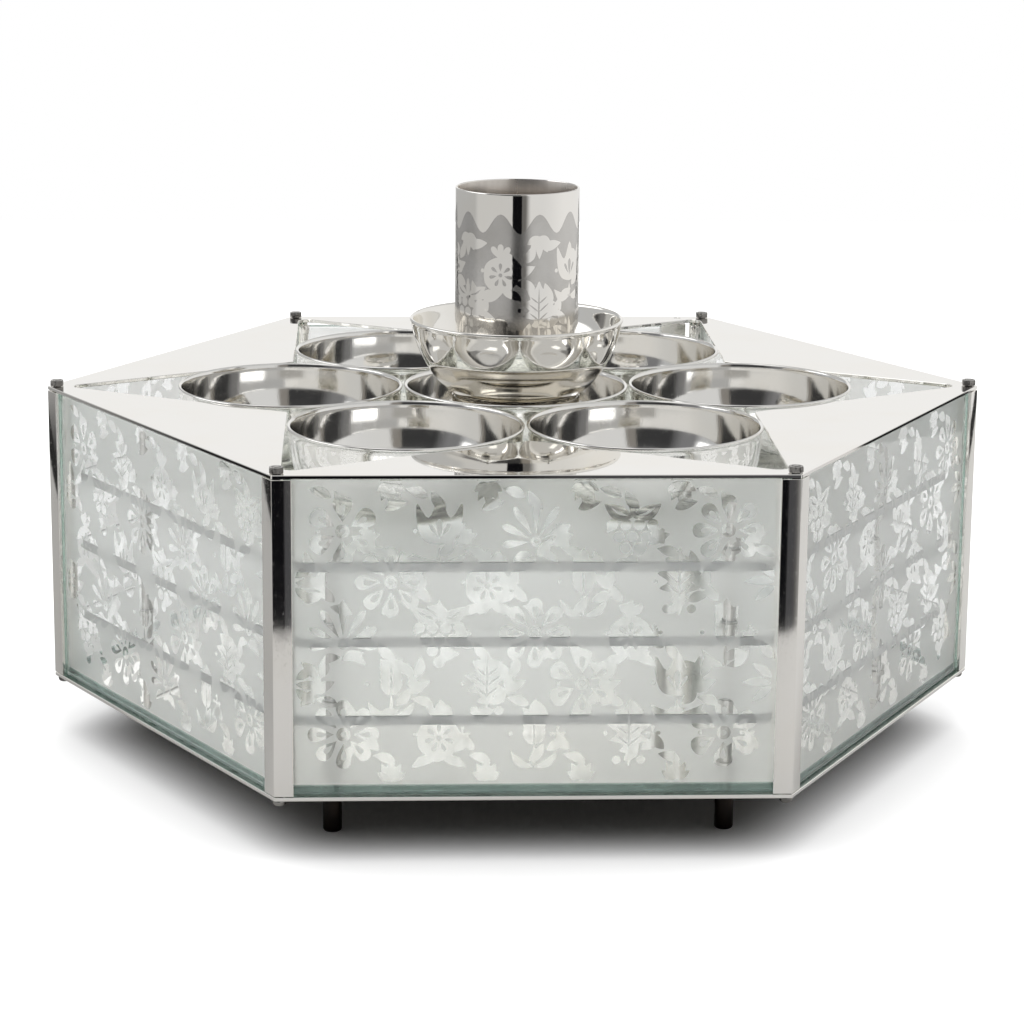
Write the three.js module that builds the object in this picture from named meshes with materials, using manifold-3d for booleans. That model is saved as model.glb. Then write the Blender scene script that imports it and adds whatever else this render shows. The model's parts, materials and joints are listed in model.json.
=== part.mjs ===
// A seder plate: a six-sided glass case on dark pins, with three glass shelves inside, and a
// polished top plate cut out as a six-pointed star. Seven round silver bowls stand in the star,
// a footed bowl stands in the middle one, and a straight cup stands in that.
//
// Millimetres, +Z up. The origin is on the floor, under the middle of the case. The front panel
// faces -Y, and two of the six corners lie on the X axis.
import * as THREE from "three";
import { mergeVertices } from "three/addons/utils/BufferGeometryUtils.js";
import Module from "manifold-3d";

const wasm = await Module();
wasm.setup();

// ---------------------------------------------------------------- driving dimensions
const CORNER_R = 205; // middle of the case to a corner of the plates
const PLATE_T = 1.6; // top and bottom plates
const TOP_Z = 157; // upper face of the top plate
const CASE_H = 130; // upper face of the bottom plate to the upper face of the top plate
const GAP = 0.3; // between pieces that touch

const STAR_R = 197.9; // sharp points of the star opening, before they are rounded
const STAR_TIP_R = 4.4; // rounding of the star's points
const BOLT_R = 200.9; // bolt circle, one bolt in each corner
const BOLT_D = 3;
const NUT_AF = 5.5;
const NUT_H = 2.4;
const HEAD_D = 5.4;
const HEAD_H = 2.3;

const STRIP_LEG = 7.8; // width of a corner strip's legs
const STRIP_T = 1.5;

const GLASS_T = 6;
const GLASS_FACE = 175.7; // middle of the case to the outer face of a panel
const GLASS_GAP_Z = 0.5; // panel to the plates above and below

const ROD_R = 192.5; // circle of the rods behind the panels' ends
const ROD_D = 4.3;
const ROD_COLLAR_D = 5.2;
const ROD_COLLAR_H = 4;
const ROD_TOP = TOP_Z - 2.7;

const SHELF_T = 4;
const SHELF_TOPS = [119.5, 89, 57]; // upper faces, from the bowls' shelf down
const SHELF_APOTHEM = 164;
const SHELF_CUT_R = 187.5; // its corners are cut off here
const PILLAR_R = 160; // circle of the pillars and the feet
const PILLAR_D = 4.9;
const PILLAR_COLLAR_D = 8;
const PILLAR_COLLAR_H = 2;
const PILLAR_STUD_D = 3; // threaded end that goes through the bottom plate into the foot
const FOOT_D = 7.6;

const BOWL_RING_R = 99; // middle of the case to the middle of an outer bowl
const BOWL_RIM_D = 98.2;
const BOWL_WALL_D = 97.2;
const BOWL_RIM_Z = 158;
const SHELL_T = 1.2; // thickness of the bowls' silver
const BOWL_FULL_DEPTH = 39.4; // depth of the curve before its bottom is flattened
const BOWL_POWER = 2.7; // how square the curve is

const RAISED_RIM_Z = 187.8;
const RAISED_RIM_D = 93.4;
const RAISED_FOOT_D = 56;
const RAISED_FOOT_T = 1.2;

const CUP_D = 54;
const CUP_RIM_Z = 245;
const CUP_BASE_Z = 154.1;
const CUP_T = 1;
const CUP_BASE_ROUND = 7;

const DOOR_PIVOT_S = 88; // pivot, measured along the rear panel from its middle
const DOOR_END_S = 92; // the door's end past the pivot
const DOOR_FREE_S = -94.2; // the door's free end
const DOOR_PIN_D = 3;
const DOOR_PIN_HOLE_D = 3.12;
const DOOR_HOLE_D = 18; // finger hole
const CLIP_W = 12;
const CLIP_H = 11;
const CLIP_WALL = 1;
const CLIP_WEB = 1.2;

// ---------------------------------------------------------------- derived heights
const BASE_TOP = TOP_Z - CASE_H; // upper face of the bottom plate
const BASE_BOTTOM = BASE_TOP - PLATE_T;
const TOP_BOTTOM = TOP_Z - PLATE_T;
const APOTHEM = CORNER_R * Math.cos(Math.PI / 6);
const DOOR_MID = GLASS_FACE - GLASS_T / 2;

// ---------------------------------------------------------------- materials
const metal = (color, roughness) =>
  new THREE.MeshStandardMaterial({ color, roughness, metalness: 1 });
const silver = () => metal(0xe6e1d8, 0.08);
const silverSatin = () => metal(0xc9c5bc, 0.25);
const pillarSteel = () => metal(0x9a9894, 0.3);
const pinBlack = () => metal(0x17120f, 0.4);
const etchedGlass = () =>
  new THREE.MeshStandardMaterial({ color: 0xdfe4e0, roughness: 0.45, metalness: 0, transparent: true, opacity: 0.6 });
const shelfGlass = () =>
  new THREE.MeshStandardMaterial({ color: 0xe9efeb, roughness: 0.06, metalness: 0, transparent: true, opacity: 0.35 });

// ---------------------------------------------------------------- helpers
const deg = (d) => (d * Math.PI) / 180;
const at = (r, d) => new THREE.Vector2(r * Math.cos(deg(d)), r * Math.sin(deg(d)));

function solidOf(geometry) {
  const g = geometry.index ? geometry.toNonIndexed() : geometry.clone();
  g.deleteAttribute("normal");
  g.deleteAttribute("uv");
  const m = mergeVertices(g, 1e-4);
  return new wasm.Manifold(
    new wasm.Mesh({
      numProp: 3,
      vertProperties: new Float32Array(m.attributes.position.array),
      triVerts: new Uint32Array(m.index.array),
    }),
  );
}

function geometryOf(solid) {
  const m = solid.getMesh();
  const v = new Float32Array(m.numVert * 3);
  for (let i = 0; i < m.numVert; i++)
    v.set(m.vertProperties.subarray(i * m.numProp, i * m.numProp + 3), i * 3);
  const g = new THREE.BufferGeometry();
  g.setAttribute("position", new THREE.BufferAttribute(v, 3));
  g.setIndex(new THREE.BufferAttribute(new Uint32Array(m.triVerts), 1));
  g.computeVertexNormals();
  return g;
}

// A closed plan outline, pulled up from z0 to z1.
function pulled(shape, z0, z1, curveSegments = 16) {
  const g = new THREE.ExtrudeGeometry(shape, { depth: z1 - z0, bevelEnabled: false, curveSegments });
  g.translate(0, 0, z0);
  return g;
}

// A profile of [radius, height] pairs turned about the Z axis. It goes up the outside and comes
// back down the inside, or starts and ends on the axis.
function turned(profile, segments) {
  const pts = profile.map(([r, z]) => new THREE.Vector2(r, z));
  const g = new THREE.LatheGeometry(pts, segments);
  g.rotateX(Math.PI / 2);
  return g;
}

const polygon = (points) => new THREE.Shape(points);

function hexagonPoints(r) {
  return [0, 60, 120, 180, 240, 300].map((a) => at(r, a));
}

function roundHole(x, y, r) {
  const h = new THREE.Path();
  h.absarc(x, y, r, 0, Math.PI * 2, true);
  return h;
}

// The plan outline of a profile's shell: the outer points are moved in along their normals.
function inset(outer, t) {
  return outer.map(([r, z], i) => {
    const a = outer[Math.max(0, i - 1)];
    const b = outer[Math.min(outer.length - 1, i + 1)];
    const dr = b[0] - a[0];
    const dz = b[1] - a[1];
    const l = Math.hypot(dr, dz);
    return [Math.max(0, r - (dz / l) * t), z + (dr / l) * t];
  });
}

const root = new THREE.Group();
function add(name, geometry, material, parent = root) {
  const m = new THREE.Mesh(geometry, material);
  m.name = name;
  parent.add(m);
  return m;
}

// A group turned about Z, for what repeats at the corners and sides.
function turnedGroup(angle) {
  const g = new THREE.Group();
  g.rotation.z = deg(angle);
  root.add(g);
  return g;
}

const CORNERS = [
  ["right", 0],
  ["rear_right", 60],
  ["rear_left", 120],
  ["left", 180],
  ["front_left", 240],
  ["front_right", 300],
];

// Along the rear panel from its middle, and out from the middle of the case.
const rearPoint = (s, n) => new THREE.Vector2(s, n);

// ---------------------------------------------------------------- plates
const doorPivot = rearPoint(DOOR_PIVOT_S, DOOR_MID);
{
  const top = polygon(hexagonPoints(CORNER_R));
  // The star: six points, rounded, and six inner corners.
  const star = [];
  for (let k = 0; k < 6; k++) {
    const a = k * 60;
    const c = at(STAR_R - 2 * STAR_TIP_R, a);
    for (let i = -3; i <= 3; i++) star.push(at(STAR_TIP_R, a + i * 20).add(c));
    star.push(at(STAR_R / Math.sqrt(3), a + 30));
  }
  top.holes.push(new THREE.Path(star.reverse()));
  for (const [, a] of CORNERS) {
    const p = at(BOLT_R, a);
    top.holes.push(roundHole(p.x, p.y, BOLT_D / 2 + 0.15));
  }
  top.holes.push(roundHole(doorPivot.x, doorPivot.y, DOOR_PIN_HOLE_D / 2));
  add("top_plate", pulled(top, TOP_BOTTOM, TOP_Z, 8), silver());

  const base = polygon(hexagonPoints(CORNER_R));
  for (const [, a] of CORNERS) {
    const b = at(BOLT_R, a);
    base.holes.push(roundHole(b.x, b.y, BOLT_D / 2 + 0.15));
    const f = at(PILLAR_R, a);
    base.holes.push(roundHole(f.x, f.y, PILLAR_STUD_D / 2 + 0.15));
  }
  base.holes.push(roundHole(doorPivot.x, doorPivot.y, DOOR_PIN_HOLE_D / 2));
  add("bottom_plate", pulled(base, BASE_BOTTOM, BASE_TOP, 8), silver());
}

// ---------------------------------------------------------------- corners
for (const [corner, angle] of CORNERS) {
  const g = turnedGroup(angle);

  // Strip: two flat legs that meet at the corner, between the two plates. +X is outwards.
  const o = new THREE.Vector2(CORNER_R, 0);
  const leg = at(STRIP_LEG, 120);
  const inward = at(STRIP_T, 210);
  const strip = polygon([
    o.clone(),
    o.clone().add(leg),
    o.clone().add(leg).add(inward),
    new THREE.Vector2(CORNER_R - STRIP_T / Math.cos(Math.PI / 6), 0),
    new THREE.Vector2(o.x + leg.x + inward.x, -(leg.y + inward.y)),
    new THREE.Vector2(o.x + leg.x, -leg.y),
  ]);
  add("corner_strip_" + corner, pulled(strip, BASE_TOP + GAP, TOP_BOTTOM - GAP), silver(), g);

  // Bolt: a round head under the bottom plate, and a shank up to the top of the nut.
  const r = BOLT_D / 2;
  const h = HEAD_D / 2;
  const headTop = BASE_BOTTOM - GAP;
  const nutBottom = TOP_Z + GAP;
  const bolt = turned(
    [
      [0, headTop - HEAD_H],
      [h * 0.55, headTop - HEAD_H],
      [h * 0.9, headTop - HEAD_H * 0.72],
      [h, headTop - HEAD_H * 0.35],
      [h, headTop],
      [r, headTop],
      [r, nutBottom + NUT_H - 0.2],
      [r - 0.3, nutBottom + NUT_H + 0.1],
      [0, nutBottom + NUT_H + 0.1],
    ],
    10,
  );
  bolt.translate(BOLT_R, 0, 0);
  add("corner_bolt_" + corner, bolt, silverSatin(), g);

  // Hex nut on the top plate, two of its flats towards the sides of the corner.
  const nut = polygon([0, 60, 120, 180, 240, 300].map((a) => at(NUT_AF / 2 / Math.cos(Math.PI / 6), a)));
  nut.holes.push(roundHole(0, 0, r + 0.15));
  const nutG = pulled(nut, nutBottom, nutBottom + NUT_H, 6);
  nutG.translate(BOLT_R, 0, 0);
  add("corner_nut_" + corner, nutG, silverSatin(), g);

  // Rod behind the ends of two panels, with a collar at its upper end.
  const rod = turned(
    [
      [0, BASE_TOP + GAP],
      [ROD_D / 2, BASE_TOP + GAP],
      [ROD_D / 2, ROD_TOP - ROD_COLLAR_H],
      [ROD_COLLAR_D / 2, ROD_TOP - ROD_COLLAR_H + 0.3],
      [ROD_COLLAR_D / 2, ROD_TOP - 0.4],
      [ROD_COLLAR_D / 2 - 0.4, ROD_TOP],
      [0, ROD_TOP],
    ],
    10,
  );
  rod.translate(ROD_R, 0, 0);
  add("corner_rod_" + corner, rod, silver(), g);

  // Pillar: a stack of round spacers on one stud. A collar is under each shelf, a cap is on the
  // highest one, and the stud's lower end goes through the bottom plate into the foot.
  const p = PILLAR_D / 2;
  const c = PILLAR_COLLAR_D / 2;
  const s = PILLAR_STUD_D / 2;
  const pillarProfile = [
    [0, BASE_BOTTOM - 6.4],
    [s, BASE_BOTTOM - 6.4],
    [s, BASE_TOP + GAP],
    [c, BASE_TOP + GAP],
    [c, BASE_TOP + GAP + PILLAR_COLLAR_H],
    [p, BASE_TOP + GAP + PILLAR_COLLAR_H],
  ];
  for (const t of [...SHELF_TOPS].reverse()) {
    const under = t - SHELF_T - GAP;
    pillarProfile.push([p, under - PILLAR_COLLAR_H], [c, under - PILLAR_COLLAR_H], [c, under], [p, under]);
  }
  const cap = SHELF_TOPS[0] + GAP;
  pillarProfile.push([p, cap], [c, cap], [c, cap + 4.5], [p - 0.4, cap + 4.5], [p - 0.4, cap + 17.4], [0, cap + 17.4]);
  const pillar = turned(pillarProfile, 8);
  pillar.translate(PILLAR_R, 0, 0);
  add("pillar_" + corner, pillar, pillarSteel(), g);

  // Foot: a dark round pin with a blind hole at its upper end for the pillar's stud.
  const f = FOOT_D / 2;
  const footTop = BASE_BOTTOM - GAP;
  const foot = turned(
    [
      [0, 0],
      [f - 1, 0],
      [f - 0.3, 0.35],
      [f, 1.1],
      [f, footTop],
      [s + 0.15, footTop],
      [s + 0.15, footTop - 6.6],
      [0, footTop - 6.6],
    ],
    14,
  );
  foot.translate(PILLAR_R, 0, 0);
  add("foot_" + corner, foot, pinBlack(), g);
}

// ---------------------------------------------------------------- glass panels
// Plan outline with the panel's middle on +X: its ends stop short of the corner's bolt and rod.
const glassOuter = GLASS_FACE;
const glassInner = GLASS_FACE - GLASS_T;
for (const [side, angle] of [
  ["rear_right", 30],
  ["rear_left", 150],
  ["front_left", 210],
  ["front", 270],
  ["front_right", 330],
]) {
  const panel = polygon([
    new THREE.Vector2(glassInner, -96.6),
    new THREE.Vector2(glassOuter, -98.3),
    new THREE.Vector2(glassOuter, 98.3),
    new THREE.Vector2(glassInner, 96.6),
  ]);
  add("glass_panel_" + side, pulled(panel, BASE_TOP + GLASS_GAP_Z, TOP_BOTTOM - GLASS_GAP_Z), etchedGlass(), turnedGroup(angle));
}

// ---------------------------------------------------------------- rear door
{
  // Glass between the legs of the two rear strips, with a finger hole near its free end.
  const zLow = BASE_TOP + 0.8 + CLIP_WEB + GAP;
  const zHigh = TOP_BOTTOM - 0.8 - CLIP_WEB - GAP;
  const pane = polygon([
    new THREE.Vector2(DOOR_FREE_S, zLow),
    new THREE.Vector2(DOOR_END_S, zLow),
    new THREE.Vector2(DOOR_END_S, zHigh),
    new THREE.Vector2(DOOR_FREE_S, zHigh),
  ]);
  pane.holes.push(roundHole(DOOR_FREE_S + 20, (zLow + zHigh) / 2, DOOR_HOLE_D / 2));
  const g = new THREE.ExtrudeGeometry(pane, { depth: GLASS_T, bevelEnabled: false, curveSegments: 24 });
  g.rotateX(Math.PI / 2); // the outline's Y becomes Z, and its depth runs towards -Y
  g.translate(0, GLASS_FACE, 0);
  add("rear_door_glass", g, etchedGlass());

  // Clip: a channel over the glass's corner, with a pin that turns in the plate.
  const half = GLASS_T / 2 + GAP;
  const out = half + CLIP_WALL;
  const channel = polygon([
    new THREE.Vector2(-out, 0),
    new THREE.Vector2(out, 0),
    new THREE.Vector2(out, CLIP_H),
    new THREE.Vector2(half, CLIP_H),
    new THREE.Vector2(half, CLIP_WEB),
    new THREE.Vector2(-half, CLIP_WEB),
    new THREE.Vector2(-half, CLIP_H),
    new THREE.Vector2(-out, CLIP_H),
  ]);
  const clip = () => {
    const c = new THREE.ExtrudeGeometry(channel, { depth: CLIP_W, bevelEnabled: false });
    c.rotateX(Math.PI / 2); // channel opens to +Z, its length runs towards -Y
    c.rotateZ(-Math.PI / 2); // and now towards -X
    c.translate(DOOR_END_S - DOOR_PIVOT_S, 0, 0);
    const pinLength = 0.8 + PLATE_T - 0.2;
    const pin = new THREE.CylinderGeometry(DOOR_PIN_D / 2, DOOR_PIN_D / 2, pinLength + CLIP_WEB / 2, 24);
    pin.rotateX(Math.PI / 2);
    pin.translate(0, 0, (CLIP_WEB / 2 - pinLength) / 2);
    return geometryOf(solidOf(c).add(solidOf(pin)));
  };
  const lower = add("door_clip_bottom", clip(), silver());
  lower.position.set(doorPivot.x, doorPivot.y, BASE_TOP + 0.8);
  const upper = add("door_clip_top", clip(), silver());
  upper.position.set(doorPivot.x, doorPivot.y, TOP_BOTTOM - 0.8);
  upper.rotation.set(Math.PI, 0, 0);
}

// ---------------------------------------------------------------- shelves
SHELF_TOPS.forEach((top, i) => {
  const s = (SHELF_CUT_R - SHELF_APOTHEM * Math.cos(Math.PI / 6)) / Math.sin(Math.PI / 6);
  const points = [];
  for (let k = 0; k < 6; k++) {
    const n = at(SHELF_APOTHEM, k * 60 + 30);
    points.push(n.clone().add(at(s, k * 60 - 60)), n.clone().add(at(s, k * 60 + 120)));
  }
  const outline = polygon(points);
  for (const [, a] of CORNERS) {
    const p = at(PILLAR_R, a);
    outline.holes.push(roundHole(p.x, p.y, PILLAR_D / 2 + GAP));
  }
  add(["shelf_top", "shelf_middle", "shelf_bottom"][i], pulled(outline, top - SHELF_T, top, 7), shelfGlass());
});

// ---------------------------------------------------------------- bowls
// The outer curve of a bowl, from the axis at its flat bottom up to under the rim.
const bowlBottom = SHELF_TOPS[0] + GAP;
function bowlOuter() {
  const a = BOWL_WALL_D / 2;
  const points = [];
  const depthAt = (r) => BOWL_FULL_DEPTH * Math.pow(1 - Math.pow(r / a, BOWL_POWER), 1 / BOWL_POWER);
  const radiusAt = (d) => a * Math.pow(1 - Math.pow(d / BOWL_FULL_DEPTH, BOWL_POWER), 1 / BOWL_POWER);
  // Where the curve meets the flat bottom.
  let flat = 0;
  while (BOWL_RIM_Z - depthAt(flat) < bowlBottom) flat += 0.05;
  points.push([0, bowlBottom], [flat, bowlBottom]);
  for (const r of [28.5, 37, 42.6]) points.push([r, BOWL_RIM_Z - depthAt(r)]);
  for (const d of [18, 9.5, 1.9]) points.push([radiusAt(d), BOWL_RIM_Z - d]);
  return points;
}

function bowlGeometry() {
  const outer = bowlOuter();
  const rim = BOWL_RIM_D / 2;
  const inner = inset(outer, SHELL_T).reverse();
  inner[inner.length - 1][0] = 0;
  inner[inner.length - 1][1] = bowlBottom + SHELL_T;
  const profile = [
    ...outer,
    [rim, BOWL_RIM_Z - 1],
    [rim - 0.4, BOWL_RIM_Z],
    [rim - 1.3, BOWL_RIM_Z],
    ...inner,
  ];
  return turned(profile, 32);
}

for (const [corner, angle] of CORNERS) {
  const p = at(BOWL_RING_R, angle);
  add("bowl_" + corner, bowlGeometry(), silver()).position.set(p.x, p.y, 0);
}
add("bowl_centre", bowlGeometry(), silver());

// The raised bowl: an open round bowl, soldered to a short tube that stands in the centre bowl.
{
  const d2r = [
    [36, 0],
    [36, 17],
    [34.8, 24.5],
    [31, 30.9],
    [25.2, 36.4],
    [17.5, 41.2],
    [9, 44.7],
    [1.9, 46.2],
  ];
  const outer = d2r.map(([d, r]) => [r, RAISED_RIM_Z - d]);
  const inner = inset(outer, SHELL_T).reverse();
  inner[inner.length - 1][0] = 0;
  inner[inner.length - 1][1] = RAISED_RIM_Z - 36 + SHELL_T;
  const rim = RAISED_RIM_D / 2;
  add(
    "raised_bowl",
    turned(
      [
        ...outer,
        [rim, RAISED_RIM_Z - 1],
        [rim - 0.4, RAISED_RIM_Z],
        [rim - 1.2, RAISED_RIM_Z],
        ...inner,
      ],
      32,
    ),
    silver(),
  );

  const f = RAISED_FOOT_D / 2;
  const top = RAISED_RIM_Z - 33.9;
  const bottom = 124.2;
  add(
    "raised_bowl_foot",
    turned(
      [
        [f, bottom + 0.4],
        [f, top - 0.3],
        [f - RAISED_FOOT_T, top - 0.6],
        [f - RAISED_FOOT_T, bottom],
        [f - 0.5, bottom],
        [f, bottom + 0.4],
      ],
      32,
    ),
    silver(),
  );
}

// ---------------------------------------------------------------- cup
{
  const r = CUP_D / 2;
  const outer = [[0, CUP_BASE_Z]];
  for (let i = 0; i <= 3; i++) {
    const a = deg(-90 + i * 30);
    outer.push([
      r - CUP_BASE_ROUND + CUP_BASE_ROUND * Math.cos(a),
      CUP_BASE_Z + CUP_BASE_ROUND + CUP_BASE_ROUND * Math.sin(a),
    ]);
  }
  const inner = inset(outer, CUP_T).reverse();
  inner[inner.length - 1][0] = 0;
  inner[inner.length - 1][1] = CUP_BASE_Z + CUP_T;
  inner[0][0] = r - CUP_T;
  inner[0][1] = CUP_BASE_Z + CUP_BASE_ROUND;
  add(
    "cup",
    turned(
      [...outer, [r, CUP_RIM_Z - 0.3], [r - 0.25, CUP_RIM_Z], [r - CUP_T + 0.25, CUP_RIM_Z], [r - CUP_T, CUP_RIM_Z - 0.3], ...inner],
      32,
    ),
    silver(),
  );
}

export default root;
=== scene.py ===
"""The looks of the seder plate: polished silver, etched glass panels, clear shelves, a star-cut top.

Metres, +Z up, the front panel faces -Y. Piece by piece, each visible shape is modelled here around
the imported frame, and sits where the frame has it.
"""

import json
import math
import random

import bmesh
import bpy
import mathutils
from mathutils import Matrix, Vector


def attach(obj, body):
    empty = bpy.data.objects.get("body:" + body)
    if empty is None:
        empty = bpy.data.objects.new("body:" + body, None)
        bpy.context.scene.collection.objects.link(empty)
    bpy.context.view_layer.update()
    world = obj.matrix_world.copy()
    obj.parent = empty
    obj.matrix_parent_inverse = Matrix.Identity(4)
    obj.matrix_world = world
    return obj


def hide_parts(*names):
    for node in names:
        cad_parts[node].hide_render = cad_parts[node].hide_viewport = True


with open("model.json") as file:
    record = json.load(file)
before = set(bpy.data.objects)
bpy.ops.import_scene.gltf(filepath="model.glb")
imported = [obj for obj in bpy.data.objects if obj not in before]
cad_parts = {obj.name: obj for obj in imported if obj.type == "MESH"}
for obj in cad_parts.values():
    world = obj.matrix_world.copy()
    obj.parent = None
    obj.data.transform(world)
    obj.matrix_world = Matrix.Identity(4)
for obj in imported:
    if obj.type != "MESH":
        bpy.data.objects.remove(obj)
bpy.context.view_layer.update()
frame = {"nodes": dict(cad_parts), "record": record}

MM = 0.001
scene = bpy.context.scene
nodes = frame["nodes"]
node_body = {}
for body, members in frame["record"]["behaviour"]["bodies"].items():
    for n in members:
        node_body[n] = body

CORNERS = [("right", 0), ("rear_right", 60), ("rear_left", 120), ("left", 180), ("front_left", 240), ("front_right", 300)]

# ------------------------------------------------------------------ sizes, in millimetres
CORNER_R = 205.0
PLATE_T = 1.6
TOP_Z = 157.0
BASE_TOP = 27.0
STAR_R = 197.9
STAR_TIP_R = 4.4
BOLT_R = 200.9
PILLAR_R = 160.0
ROD_R = 192.5
GLASS_OUT = 175.7
GLASS_T = 6.0
BOWL_RING_R = 99.0


def rad(d):
    return d * math.pi / 180


def at(r, d):
    return (r * math.cos(rad(d)), r * math.sin(rad(d)))


# ------------------------------------------------------------------ camera
cam_data = bpy.data.cameras.new("camera")
cam = bpy.data.objects.new("camera", cam_data)
scene.collection.objects.link(cam)
scene.camera = cam
cam_data.sensor_width = 36
cam_data.lens = 109.44
cam_data.clip_start = 0.05
cam_data.clip_end = 100
CAM_POS = Vector((-0.0658, -1.3444, 0.4225))
CAM_YAW, CAM_PITCH, CAM_ROLL = rad(2.75), rad(13.482), rad(0.502)
look = Vector((math.sin(CAM_YAW) * math.cos(CAM_PITCH), math.cos(CAM_YAW) * math.cos(CAM_PITCH), -math.sin(CAM_PITCH)))
right = Vector((math.cos(CAM_YAW), -math.sin(CAM_YAW), 0))
up = right.cross(look)
right2 = right * math.cos(CAM_ROLL) + up * math.sin(CAM_ROLL)
up2 = -right * math.sin(CAM_ROLL) + up * math.cos(CAM_ROLL)
cam.matrix_world = mathutils.Matrix((
    (right2.x, up2.x, -look.x, CAM_POS.x),
    (right2.y, up2.y, -look.y, CAM_POS.y),
    (right2.z, up2.z, -look.z, CAM_POS.z),
    (0, 0, 0, 1),
))


# ------------------------------------------------------------------ node helpers
class Tree:
    """Short names for building a node tree."""

    def __init__(self, tree):
        self.t = tree
        tree.nodes.clear()

    def node(self, kind, **props):
        n = self.t.nodes.new(kind)
        for k, v in props.items():
            setattr(n, k, v)
        return n

    def put(self, socket, value):
        if isinstance(value, bpy.types.NodeSocket):
            self.t.links.new(value, socket)
        elif value is not None:
            socket.default_value = value

    def math(self, op, a, b=None, c=None, clamp=False):
        n = self.node("ShaderNodeMath", operation=op, use_clamp=clamp)
        self.put(n.inputs[0], a)
        self.put(n.inputs[1], b)
        if c is not None:
            self.put(n.inputs[2], c)
        return n.outputs[0]

    def ramp(self, value, lo, hi, a=0.0, b=1.0, smooth=True):
        n = self.node("ShaderNodeMapRange", interpolation_type="SMOOTHSTEP" if smooth else "LINEAR")
        for i, v in enumerate((value, lo, hi, a, b)):
            self.put(n.inputs[i], v)
        return n.outputs[0]

    def mix(self, fac, a, b):
        n = self.node("ShaderNodeMix", data_type="RGBA")
        self.put(n.inputs[0], fac)
        self.put(n.inputs[6], a)
        self.put(n.inputs[7], b)
        return n.outputs[2]

    def mixf(self, fac, a, b):
        n = self.node("ShaderNodeMix", data_type="FLOAT")
        self.put(n.inputs[0], fac)
        self.put(n.inputs[2], a)
        self.put(n.inputs[3], b)
        return n.outputs[0]

    def noise(self, vector, scale, detail=3.0, rough=0.5, distortion=0.0):
        n = self.node("ShaderNodeTexNoise")
        self.put(n.inputs["Vector"], vector)
        self.put(n.inputs["Scale"], scale)
        self.put(n.inputs["Detail"], detail)
        self.put(n.inputs["Roughness"], rough)
        self.put(n.inputs["Distortion"], distortion)
        return n.outputs["Fac"]

    def mapping(self, vector, scale=(1, 1, 1), rotation=(0, 0, 0), location=(0, 0, 0)):
        n = self.node("ShaderNodeMapping")
        self.put(n.inputs["Vector"], vector)
        n.inputs["Scale"].default_value = scale
        n.inputs["Rotation"].default_value = rotation
        n.inputs["Location"].default_value = location
        return n.outputs[0]

    def bump(self, height, strength=1.0, distance=0.0001, normal=None):
        n = self.node("ShaderNodeBump")
        self.put(n.inputs["Height"], height)
        n.inputs["Strength"].default_value = strength
        n.inputs["Distance"].default_value = distance
        if normal is not None:
            self.put(n.inputs["Normal"], normal)
        return n.outputs[0]


def material(name):
    m = bpy.data.materials.new(name)
    m.use_nodes = True
    return m, Tree(m.node_tree)


def principled(t, **values):
    p = t.node("ShaderNodeBsdfPrincipled")
    for k, v in values.items():
        t.put(p.inputs[k.replace("_", " ")], v)
    out = t.node("ShaderNodeOutputMaterial")
    t.t.links.new(p.outputs[0], out.inputs["Surface"])
    return p, out


def rgb(r, g, b):
    return (r, g, b, 1.0)


# ------------------------------------------------------------------ metals
def silver(name, tint=(0.935, 0.92, 0.89), warm=(0.92, 0.89, 0.835), rough=0.035, worn=0.05, wave=1.0, scratch=1.0, grain=None, brush=0.06):
    """Polished silver: a faint warm bloom, polishing marks in the gloss, and sheet that isn't quite flat."""
    m, t = material(name)
    co = t.node("ShaderNodeTexCoord").outputs["Object"]
    cloud = t.noise(co, 28.0, 3.0, 0.55)
    bloom = t.ramp(cloud, 0.42, 0.72)
    colour = t.mix(t.math("MULTIPLY", bloom, 0.55), rgb(*tint), rgb(*warm))
    # Polishing marks: three sets of long thin streaks at odd angles.
    marks = None
    for angle, scale in ((0.35, 900.0), (-0.9, 700.0), (1.9, 1100.0)):
        v = t.mapping(co, (1.0, 0.05, 0.6), (angle * 0.6, 0.3 * angle, angle))
        n = t.ramp(t.noise(v, scale, 2.0, 0.6), 0.60, 0.78)
        marks = n if marks is None else t.math("MAXIMUM", marks, n)
    fine = t.noise(co, 160.0, 4.0, 0.6)
    r = t.math("ADD", rough, t.math("MULTIPLY", marks, worn * scratch))
    r = t.math("ADD", r, t.math("MULTIPLY", t.ramp(fine, 0.45, 0.8), worn * 0.5))
    normal = t.bump(t.noise(co, 16.0, 2.0, 0.4), 0.35 * wave, 0.00006)
    normal = t.bump(marks, 0.05 * scratch, 0.00001, normal)
    if grain:
        v = t.mapping(co, grain)
        normal = t.bump(t.noise(v, 1500.0, 2.0, 0.5), brush, 0.00002, normal)
    p, _ = principled(t, Base_Color=colour, Metallic=1.0, Roughness=r, Normal=normal)
    return m


SILVER_PLATE = silver("silver_plate", rough=0.02, worn=0.03, wave=0.5)
SILVER_STRIP = silver("silver_strip", tint=(0.93, 0.91, 0.88), rough=0.06, worn=0.09, wave=0.8, grain=(1.0, 1.0, 0.02))
# The bowls' silver is a darker copy of the polished silver: painted shade that tones the bowls down.
SILVER_BOWL_PAINTED_SHADE = silver("silver_bowl", tint=(0.875, 0.865, 0.842), warm=(0.86, 0.84, 0.80), rough=0.07, worn=0.08, grain=(1.0, 1.0, 0.04), brush=0.45)
SILVER_RAISED = silver("silver_raised", tint=(0.94, 0.925, 0.89), warm=(0.93, 0.90, 0.84), rough=0.042, worn=0.06, grain=(1.0, 1.0, 0.04), brush=0.25)
SILVER_CUP = silver("silver_cup", tint=(0.93, 0.91, 0.875), rough=0.05, worn=0.06, wave=0.5, grain=(1.0, 1.0, 0.03))
SILVER_PARTS = silver("silver_parts", tint=(0.86, 0.84, 0.81), rough=0.10, worn=0.12)


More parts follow.
